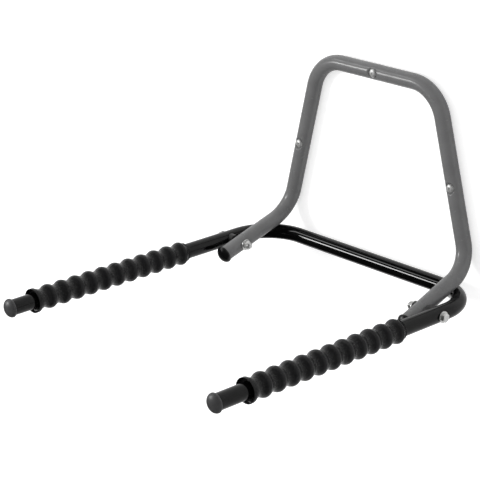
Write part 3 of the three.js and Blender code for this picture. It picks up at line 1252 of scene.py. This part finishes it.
    def _cut_cross(self, screw: Piece, top: float) -> None:
        """Sinks a tapered cross recess into the head.

        Args:
            screw: The screw.
            top: Height of the top of its head.
        """
        for turn in (0.0, math.pi / 2):
            deselect()
            bpy.ops.mesh.primitive_cube_add(size=1)
            scale = Matrix.Diagonal((*self.recess, 1))
            place = Matrix.Translation((0, 0, top)) @ Matrix.Rotation(turn, 4, "Z") @ scale
            blade = Piece.started("blade", place)
            blade.edit()
            blade.pick(lambda co: co.z > top)
            centre = (0, 0, top)
            taper = (self.recess_floor, self.recess_floor, 1)
            bpy.ops.transform.resize(value=taper, center_override=centre)
            deselect()
            screw.combine(blade, Cut.TAKE_AWAY)

    def build_caps(self) -> None:
        """Puts a cap on the end of each leg."""
        places = {
            side.name: along(self.leg_direction(side), self.corners(side)[0]) for side in SIDES
        }
        self.cap.fit("leg", places, Body.FRAME, self.plastic)


# ---- Pivots ----


@dataclass
class PivotHardware:
    """The bolts, nuts and washers that the carrier turns on.

    Args:
        zinc: Their finish.
        across_flats: Of bolt head and nut.
        head: Height of the bolt's head.
        head_face: Radius of the flat on the bolt's head.
        nut: Height of the nut, with its collar.
        nut_face: Radius of the flats on the nut.
        collar: Height of the collar.
        bolt_end: Bolt that shows past the nut.
        bolt_thread: Length of its thread.
        bolt_pitch: Pitch of its thread.
        thread_depth: Depth of its thread.
        washer_radius: Outside radius of a washer.
        washer_thickness: Its thickness.
        play: Between a washer and its tube.
        turn: How far round the pieces are turned, in radians, as the mean of the two sides.
        turn_apart: How far either side is from that mean.
    """

    zinc: bpy.types.Material
    across_flats: float = 13 * MM
    head: float = 5.3 * MM
    head_face: float = 5.1 * MM
    nut: float = 8 * MM
    nut_face: float = 6.2 * MM
    collar: float = 2.2 * MM
    bolt_end: float = 2.5 * MM
    bolt_thread: float = 22 * MM
    bolt_pitch: float = 1.25 * MM
    thread_depth: float = 0.55 * MM
    washer_radius: float = 9 * MM
    washer_thickness: float = 1.6 * MM
    play: float = 0.05 * MM
    turn: float = 0.35
    turn_apart: float = 0.5

    @property
    def outer_seat(self) -> float:
        """Where the outer washer lies on the arm, from the middle of the rack."""
        return ARM_X + TUBE_R + self.play

    @property
    def inner_seat(self) -> float:
        """Where the inner washer lies on the leg, from the middle of the rack."""
        return LEG_X - TUBE_R - self.play - self.washer_radius * math.tan(LEG_SPLAY)

    def build(self) -> None:
        """Models one of each piece and puts copies on both pivots."""
        washer = self._washer()
        nut = self._nut()
        bolt = self._bolt()
        for side in SIDES:
            places = {
                "outer_washer": (washer, self.outer_seat, 1),
                "inner_washer": (washer, self.inner_seat, -1),
                "pivot_nut": (nut, self.inner_seat - self.washer_thickness, -1),
                "pivot_bolt": (bolt, self.outer_seat + self.washer_thickness, 1),
            }
            for node, (model, x, way) in places.items():
                place = pivot_point(side.sign * x)
                turn = Matrix.Rotation(self.turn + self.turn_apart * side.sign, 4, "Z")
                stand = along(X_AXIS * (side.sign * way), place) @ turn
                twin = model.copied(f"zinc_{node}_{side.name}", stand)
                twin.finish(Body.FRAME, Slot.ZINC, self.zinc, [f"{node}_{side.name}"])
        for model in (washer, nut, bolt):
            bpy.data.objects.remove(model.obj)

    def _washer(self) -> Piece:
        """Models a punched washer along +Z, rolled over on the side away from its seat.

        Returns:
            The washer.
        """
        inner = BOLT_BORE_R
        outer = self.washer_radius
        thick = self.washer_thickness
        profile = [
            (inner, 0.1 * MM),
            (inner + 0.1 * MM, 0),
            (outer - 0.15 * MM, 0),
            (outer, 0.15 * MM),
            (outer, thick - 0.4 * MM),
            (outer - 0.12 * MM, thick - 0.12 * MM),
            (outer - 0.4 * MM, thick),
            (inner + 0.25 * MM, thick),
            (inner, thick - 0.25 * MM),
        ]
        return Piece.turned("washer", profile, 64, closed=True)

    def _hexagon(self, name: str, height: float, face: float, both: bool) -> Piece:
        """A hexagon along +Z from its seat, with turned chamfers.

        Args:
            name: The piece's name.
            height: Its height.
            face: Radius of the flat that the chamfer leaves.
            both: Whether the seat's side is chamfered too.

        Returns:
            The piece.
        """
        corner = self.across_flats / math.sqrt(3)
        middle = Matrix.Translation((0, 0, height / 2))
        prism = Piece.prism(name, corner, height, 6, middle)
        drop = (corner - face) * math.tan(math.radians(30))
        low = drop if both else 0.0
        past = 1.02
        outline = [(0, 0), (face, 0)] if both else [(0, -MM), (corner * past, -MM)]
        outline += [(corner * past, low * past), (corner * past, height - drop * past)]
        outline += [(face, height), (0, height)]
        prism.combine(Piece.turned("blank", outline, 96), Cut.KEEP_COMMON)
        return prism

    def _nut(self) -> Piece:
        """Models a locking nut along +Z from its seat, with the round collar of its nylon ring.

        Returns:
            The nut.
        """
        nut = self._hexagon("nut", self.nut - self.collar, self.nut_face, True)
        ring = self.across_flats / 2 - 0.8 * MM
        lip = BOLT_R + 0.9 * MM
        base = self.nut - self.collar - MM
        profile = [
            (0, base),
            (ring, base),
            (ring, self.nut - 0.9 * MM),
            (ring - 0.25 * MM, self.nut - 0.35 * MM),
            (ring - 0.8 * MM, self.nut),
            (lip, self.nut),
            (0, self.nut),
        ]
        nut.combine(Piece.turned("collar", profile, 64), Cut.ADD)
        nut.drill(BOLT_R + 0.05 * MM, 4 * self.nut, Z_AXIS, Vector())
        nut.soften(0.12 * MM)
        return nut

    def _bolt(self) -> Piece:
        """Models a bolt along +Z: its head's seat is at the origin, and its shank goes towards -Z.

        Returns:
            The bolt.
        """
        reach = self.outer_seat - self.inner_seat + 2 * self.washer_thickness
        end = -(reach + self.nut + self.bolt_end)
        threaded = end + self.bolt_thread
        shank = [(0, end), (BOLT_R - 0.9 * MM, end)]
        rings = 160
        shank += [
            (BOLT_R, end + 0.7 * MM + (threaded - end) * ring / rings) for ring in range(rings)
        ]
        shank += [(BOLT_R, MM), (0, MM)]
        bar = Piece.turned("shank", shank, 40)
        root = BOLT_R - self.thread_depth
        bar.thread(end + 0.6 * MM, threaded, root, BOLT_R, self.bolt_pitch)
        bolt = self._hexagon("bolt", self.head, self.head_face, False)
        bolt.soften(0.15 * MM)
        bolt.combine(bar, Cut.ADD)
        return bolt


# ---- Carrier ----


@dataclass
class RibbedSleeve:
    """A soft sleeve with round ridges and an open flange at its front.

    Args:
        bore: Radius of its bore.
        valley: Radius in the valleys.
        ridge: Radius on the ridges.
        flange: Radius of the flange at the front.
        mouth: Inside radius of the open flange.
        depth: Depth of the opening.
        body: Length of the flange's plain rim.
        waist: Radius just behind that rim.
        ridges: How many ridges there are.
        pitch: From ridge to ridge.
        first: From the front to the first ridge.
        tail: From the last ridge to the rear end.
        slope: How much of that the last ridge's rear slope takes.
        seam: Height of the moulding seam along its top and underside.
        sides: Vertices round it.
    """

    bore: float = 12.6 * MM
    valley: float = 14.8 * MM
    ridge: float = 19.01 * MM
    flange: float = 19.21 * MM
    mouth: float = 18.01 * MM
    depth: float = 7 * MM
    body: float = 5.8 * MM
    waist: float = 17.2 * MM
    ridges: int = 11
    pitch: float = 26.5 * MM
    first: float = 30.2 * MM
    tail: float = 10.2 * MM
    slope: float = 8.6 * MM
    seam: float = 0.22 * MM
    sides: int = 96

    @property
    def length(self) -> float:
        """The whole length."""
        return self.first + (self.ridges - 1) * self.pitch + self.tail

    def outline(self) -> list[tuple[float, float]]:
        """The section from the bottom of the flange's opening round to the bore's rear end.

        Returns:
            Radius and place along the sleeve of each point.
        """
        points = [
            (self.bore, self.depth),
            (self.mouth - 0.8 * MM, self.depth - 0.1 * MM),
            (self.mouth - 0.25 * MM, self.depth - 0.4 * MM),
            (self.mouth - 0.05 * MM, self.depth - MM),
            (self.mouth - 0.05 * MM, 1.6 * MM),
            (self.mouth + 0.1 * MM, 1.2 * MM),
            (self.flange - 0.35 * MM, 0.12 * MM),
            (self.flange - 0.12 * MM, 0),
            (self.flange, 0.3 * MM),
            (self.flange, self.body - 0.7 * MM),
            (self.flange - 0.2 * MM, self.body - 0.2 * MM),
            (self.flange - 0.7 * MM, self.body),
            (self.waist + 0.3 * MM, self.body + 0.15 * MM),
        ]
        neck = self.body + 0.6 * MM
        start = self.first - self.pitch / 2
        steps = 8
        for step in range(steps + 1):
            share = step / steps
            height = (self.waist - self.valley) * hump(share)
            points.append((self.valley + height, neck + (start - neck) * share))
        steps = 14
        for ridge in range(self.ridges):
            crest = self.first + ridge * self.pitch
            rear = self.slope if ridge == self.ridges - 1 else self.pitch / 2
            for step in range(1, steps + 1):
                side = 2 * step / steps - 1
                height = (self.ridge - self.valley) * hump(side)
                reach = rear if side > 0 else self.pitch / 2
                points.append((self.valley + height, crest + side * reach))
        points += [
            (self.valley + 0.4 * MM, self.length - 1.3 * MM),
            (self.valley + 0.6 * MM, self.length - 0.9 * MM),
            (self.valley + 0.5 * MM, self.length - 0.3 * MM),
            (self.valley + 0.2 * MM, self.length),
            (self.bore + 0.3 * MM, self.length),
            (self.bore, self.length - 0.4 * MM),
        ]
        return points

    def model(self, name: str) -> Piece:
        """Models the sleeve along +Z from its open front, with its moulding seam.

        Args:
            name: The piece's name.

        Returns:
            The sleeve.
        """
        sleeve = Piece.turned(name, self.outline(), self.sides, closed=True)
        half_side = math.pi / self.sides

        def move(co: Vector) -> Vector:
            """Raises the seam on the meridians of the top and the underside.

            Args:
                co: Where a vertex is.

            Returns:
                Where it goes.
            """
            radius = math.hypot(co.x, co.y)
            if radius < self.valley - 0.2 * MM or co.z < self.depth:
                return co
            if abs(abs(math.atan2(co.y, co.x)) - math.pi / 2) > half_side:
                return co
            lift = 1 + self.seam / radius
            return Vector((co.x * lift, co.y * lift, co.z))

        sleeve.reshape(move)
        return sleeve


@dataclass
class Carrier:
    """The black U of tube that folds up, with its sleeves, caps and spacers.

    Args:
        paint: Finish of the tube.
        plastic: Finish of the caps.
        nylon: Finish of the spacers.
        vinyl: Finish of each sleeve, by its side.
        bend: Its two bends.
        setback: From the pivot axis to the crossbar's centreline.
        arm_length: From the pivot axis to the ends of the arms.
        sleeve_rears: From the pivot axis to the rear end of each sleeve.
        sleeve: The sleeves.
        cap: The cap on each arm.
        spacer_radius: Of the spacers between legs and arms.
        spacer_play: Between a spacer and its leg.
        saddle_play: Between a spacer and its arm.
        spacer_edge: Rounding of its edges.
    """

    paint: bpy.types.Material
    plastic: bpy.types.Material
    nylon: bpy.types.Material
    vinyl: dict[str, bpy.types.Material]
    bend: float = 73 * MM
    setback: float = 94.43 * MM
    arm_length: float = 440 * MM
    sleeve_rears: dict[str, float] = field(
        default_factory=lambda: {"left": 95.6 * MM, "right": 81.3 * MM}
    )
    sleeve: RibbedSleeve = field(default_factory=RibbedSleeve)
    cap: DomedCap = field(
        default_factory=lambda: DomedCap(14.8 * MM, 1.2 * MM, 8.8 * MM, 20 * MM)
    )
    spacer_radius: float = 10 * MM
    spacer_play: float = 0.1 * MM
    saddle_play: float = 0.06 * MM
    spacer_edge: float = 0.5 * MM

    def build(self) -> None:
        """Builds the tube and what is on it."""
        self.build_tube()
        self.build_sleeves()
        self.build_caps()
        self.build_spacers()

    def build_tube(self) -> None:
        """Bends the tube and drills it for the bolts."""
        corners = [
            pivot_point(-ARM_X, self.arm_length),
            pivot_point(-ARM_X, -self.setback),
            pivot_point(ARM_X, -self.setback),
            pivot_point(ARM_X, self.arm_length),
        ]
        tube = BentTube("bent_carrier_tube", corners, [self.bend, self.bend], bend_steps=36).draw()
        tube.modify("SOLIDIFY", thickness=TUBE_WALL, offset=-1, use_even_offset=True)
        for side in SIDES:
            tube.drill(BOLT_BORE_R, DRILL_LENGTH, X_AXIS, pivot_point(side.sign * ARM_X))
        tube.finish(Body.CARRIER, Slot.CARRIER, self.paint, ["carrier_tube"])

    def build_sleeves(self) -> None:
        """Pushes a copy of the sleeve onto each arm."""
        model = self.sleeve.model("sleeve")
        for side in SIDES:
            front = self.sleeve_rears[side.name] + self.sleeve.length
            place = along(Y_AXIS, pivot_point(side.sign * ARM_X, front))
            twin = model.copied(f"ribbed_sleeve_{side.name}", place)
            material = self.vinyl[side.name]
            twin.finish(Body.CARRIER, Slot.SLEEVE, material, [f"grip_sleeve_{side.name}"], 60)
        bpy.data.objects.remove(model.obj)

    def build_caps(self) -> None:
        """Puts a cap on the end of each arm."""
        places = {
            side.name: along(-Y_AXIS, pivot_point(side.sign * ARM_X, self.arm_length))
            for side in SIDES
        }
        self.cap.fit("arm", places, Body.CARRIER, self.plastic)

    def build_spacers(self) -> None:
        """Models a spacer on each pivot: flat towards the leg and hollowed to fit the arm."""
        splay = self.spacer_radius * math.tan(LEG_SPLAY)
        inner = LEG_X + TUBE_R + self.spacer_play + splay
        for side in SIDES:
            length = ARM_X - inner
            middle = pivot_point(side.sign * (inner + length / 2))
            name = f"saddle_spacer_{side.name}"
            spacer = Piece.prism(name, self.spacer_radius, length, 72, along(X_AXIS, middle))
            arm = along(Y_AXIS, pivot_point(side.sign * ARM_X))
            hollow = TUBE_R + self.saddle_play
            saddle = Piece.prism("saddle", hollow, DRILL_LENGTH, 144, arm)
            spacer.combine(saddle, Cut.TAKE_AWAY)
            spacer.drill(BOLT_BORE_R, DRILL_LENGTH, X_AXIS, middle)
            spacer.soften(self.spacer_edge, 3)
            spacer.finish(Body.CARRIER, Slot.SPACER, self.nylon, [f"pivot_spacer_{side.name}"])


# ---- Studio ----


@dataclass(frozen=True)
class Lamp:
    """A plain rectangular lamp.

    Args:
        name: Its name.
        towards: The direction from the rack to the lamp.
        distance: How far off it is.
        width: Its width.
        height: Its height.
        radiance: How bright its face is.
    """

    name: str
    towards: Vector
    distance: float
    width: float
    height: float
    radiance: float


@dataclass
class Studio:
    """The wall, the floor, the dim room, the lamps and the camera.

    Args:
        aim: What the lamps point at.
        lamps: The lamps.
        soft: Level of the even light from all round.
        wall_gap: From the rack's back to the wall.
        wall_glow: What the wall shows the camera on top of its own light.
        mirrored_glow: How much of that glow shows in gloss.
        room: Radius of the dim room that shows in gloss.
        room_glow: How bright that room is.
        floor_drop: The floor below the origin.
        reach: Half the size of the wall.
        floor_reach: Half the size of the floor.
        camera_place: Where the photograph was taken from.
        camera_azimuth: How far the camera is turned round.
        camera_pitch: How far it looks down.
        camera_roll: How far it leans.
        lens: Its focal length in millimetres, on a 36 mm frame.
    """

    aim: Vector = field(default_factory=lambda: Vector((0, -0.1, -0.15)))
    lamps: tuple[Lamp, ...] = (
        Lamp(
            name="key",
            towards=Vector((-0.658, -0.735, 0.17)),
            distance=2.4,
            width=0.55,
            height=0.42,
            radiance=30.0,
        ),
        Lamp(
            name="strip",
            towards=Vector((-0.658, -0.463, 0.593)),
            distance=2.6,
            width=1.2,
            height=0.36,
            radiance=5.5,
        ),
        Lamp(
            name="back",
            towards=Vector((0.2, 1.0, 0.5)),
            distance=3.4,
            width=3.0,
            height=2.0,
            radiance=0.8,
        ),
    )
    soft: float = 0.8
    wall_gap: float = 0.3 * MM
    wall_glow: float = 0.56
    mirrored_glow: float = 0.3
    room: float = 5.0
    room_glow: float = 0.025
    floor_drop: float = 2.2
    reach: float = 6.0
    floor_reach: float = 60.0
    camera_place: Vector = field(default_factory=lambda: Vector((1.8716, -2.0029, 0.7223)))
    camera_azimuth: float = math.radians(47.773)
    camera_pitch: float = math.radians(20.115)
    camera_roll: float = math.radians(-0.689)
    lens: float = 135.47

    def build(self) -> None:
        """Builds the surroundings."""
        self.build_camera()
        self.build_world()
        self.build_lamps()
        self.build_wall()
        self.build_floor()
        self.build_room()
        bpy.context.scene.view_settings.view_transform = "Standard"

    def build_camera(self) -> None:
        """Puts the camera where the photograph was taken from."""
        data = bpy.data.cameras.new("camera")
        data.lens = self.lens
        data.clip_start = 0.05
        camera = bpy.data.objects.new("camera", data)
        bpy.context.scene.collection.objects.link(camera)
        turn = Matrix.Rotation(self.camera_azimuth, 4, "Z")
        tilt = Matrix.Rotation(math.pi / 2 - self.camera_pitch, 4, "X")
        roll = Matrix.Rotation(self.camera_roll, 4, "Z")
        camera.matrix_world = Matrix.Translation(self.camera_place) @ turn @ tilt @ roll
        bpy.context.scene.camera = camera

    def build_world(self) -> None:
        """An even soft light, which is plain white where it is seen."""
        graph = Graph("surroundings", world=True)
        soft = graph.node("ShaderNodeBackground", {}, {"Color": WHITE, "Strength": self.soft})
        seen = graph.node("ShaderNodeBackground", {}, {"Color": WHITE, "Strength": 1.0})
        bpy.context.scene.world = graph.close(graph.mixed(graph.background_rays(), soft, seen))

    def build_lamps(self) -> None:
        """Hangs the lamps round the rack."""
        for lamp in self.lamps:
            data = bpy.data.lights.new(lamp.name, "AREA")
            data.shape = "RECTANGLE"
            data.size = lamp.width
            data.size_y = lamp.height
            data.energy = lamp.radiance * math.pi * lamp.width * lamp.height
            obj = bpy.data.objects.new(lamp.name, data)
            bpy.context.scene.collection.objects.link(obj)
            towards = lamp.towards.normalized()
            turn = towards.to_track_quat("Z", "Y").to_matrix().to_4x4()
            obj.matrix_world = Matrix.Translation(self.aim + towards * lamp.distance) @ turn
            obj.visible_camera = False

    @staticmethod
    def _sheet(name: str, reach: float, place: Matrix) -> bpy.types.Object:
        """Adds a large flat square that isn't part of the rack.

        Args:
            name: Its name.
            reach: Half its size.
            place: Where its middle goes, and how it is turned.

        Returns:
            The square.
        """
        deselect()
        bpy.ops.mesh.primitive_plane_add(size=2 * reach)
        piece = Piece.started(name, place)
        return piece.obj

    def build_wall(self) -> None:
        """A white wall just behind the rack, which can't be seen from behind."""
        middle = Vector((0, self.wall_gap, self.reach - self.floor_drop))
        wall = self._sheet("wall", self.reach, along(-Y_AXIS, middle))
        graph = Graph("white_wall")
        plaster = graph.node("ShaderNodeBsdfDiffuse", {}, {"Color": (0.8, 0.8, 0.8, 1)})
        glow = graph.node("ShaderNodeEmission", {}, {"Strength": self.wall_glow})
        both = graph.node("ShaderNodeAddShader", {}, {0: plaster.outputs[0], 1: glow.outputs[0]})
        front = graph.mixed(graph.background_rays(self.mirrored_glow), plaster, both)
        behind = Value(graph, graph.node("ShaderNodeNewGeometry").outputs["Backfacing"])
        clear = graph.node("ShaderNodeBsdfTransparent")
        wall.data.materials.append(graph.close(graph.mixed(behind, front, clear)))

    def build_floor(self) -> None:
        """A plain pale floor, below what the photograph shows."""
        place = Matrix.Translation((0, 0, -self.floor_drop))
        floor = self._sheet("floor", self.floor_reach, place)
        graph = Graph("pale_floor")
        tone = graph.blend(graph.noise(3, 3).ramp(0.3, 0.7), (0.7, 0.7, 0.7), (0.74, 0.74, 0.74))
        floor.data.materials.append(graph.surface(Base_Color=tone, Roughness=0.8))
        floor.visible_glossy = False

    def build_room(self) -> None:
        """The dim room in front of the wall, which only glossy surfaces see."""
        deselect()
        bpy.ops.mesh.primitive_uv_sphere_add(segments=48, ring_count=24, radius=self.room)
        piece = Piece.started("dim_room")
        piece.edit()
        piece.pick(lambda co: co.y > MM)
        bpy.ops.mesh.delete(type="VERT")
        deselect()
        graph = Graph("dim_room")
        glow = graph.node("ShaderNodeEmission", {}, {"Strength": self.room_glow})
        piece.obj.data.materials.append(graph.close(glow))
        piece.obj.visible_camera = False
        piece.obj.visible_diffuse = False
        piece.obj.visible_transmission = False
        piece.obj.visible_shadow = False


# ---- Making it ----


def contact_points(frame: WallFrame) -> tuple[tuple[Vector, ...], tuple[Vector, ...]]:
    """Where fastened pieces rub the two tubes.

    Args:
        frame: The wall frame.

    Returns:
        The points on the frame, and those on the carrier.
    """
    on_frame = [
        Vector((place.x, SEAT_DEPTH - 2 * TUBE_R, place.z)) for place, _ in frame.screws().values()
    ]
    on_carrier = []
    for side in SIDES:
        pivot = pivot_point(side.sign * LEG_X)
        on_frame.append(pivot - X_AXIS * (side.sign * TUBE_R))
        on_carrier.append(pivot + X_AXIS * (side.sign * (ARM_X + TUBE_R - LEG_X)))
    return tuple(on_frame), tuple(on_carrier)


def main() -> None:
    """Builds the rack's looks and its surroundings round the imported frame."""
    logging.basicConfig(level=logging.INFO, format="%(name)s: %(message)s")
    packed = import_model()
    LOG.info("packed frame: %d nodes", len(packed["nodes"]))
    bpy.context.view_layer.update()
    bright_zinc = ZincPlate("bright_zinc", metal=0.92, roughness=0.27).build()
    satin_zinc = ZincPlate("satin_zinc", metal=0.7, roughness=0.4).build()
    arm_cap_plastic = MouldedPlastic(
        "arm_cap_plastic", (0.05, 0.05, 0.051), roughness=0.42, grain=0.03 * MM
    ).build()
    # The leg caps get a far darker plastic than the arm caps: partly a black plastic of their own,
    # partly painted shade for the dimmer light on their downward faces.
    leg_cap_plastic = MouldedPlastic(
        "leg_cap_plastic", (0.005, 0.005, 0.005), roughness=0.36, grain=0.02 * MM
    ).build()
    nylon = MouldedPlastic(
        "spacer_nylon", (0.012, 0.012, 0.012), roughness=0.5, grain=0.03 * MM
    ).build()
    wall_frame = WallFrame(satin_zinc, leg_cap_plastic)
    on_frame, on_carrier = contact_points(wall_frame)
    grey_paint = PowderCoat(
        name="grey_powder_coat",
        colour=(0.172, 0.172, 0.173),
        deep=(0.158, 0.158, 0.159),
        roughness=0.25,
        peel=0.015 * MM,
        specular=0.28,
        contacts=on_frame,
    ).build()
    wall_frame.build(grey_paint)
    PivotHardware(bright_zinc).build()
    black_paint = PowderCoat(
        name="black_powder_coat",
        colour=(0.0022, 0.0022, 0.0023),
        deep=(0.0016, 0.0016, 0.0017),
        roughness=0.06,
        peel=0.005 * MM,
        specular=0.23,
        contacts=on_carrier,
    ).build()
    sleeve = RibbedSleeve()
    vinyl = {
        side.name: SleeveVinyl(
            f"sleeve_vinyl_{side.name}", side.sign * ARM_X, sleeve.valley, sleeve.ridge
        ).build()
        for side in SIDES
    }
    Carrier(black_paint, arm_cap_plastic, nylon, vinyl, sleeve=sleeve).build()
    Studio().build()


if __name__ == "__main__":
    main()
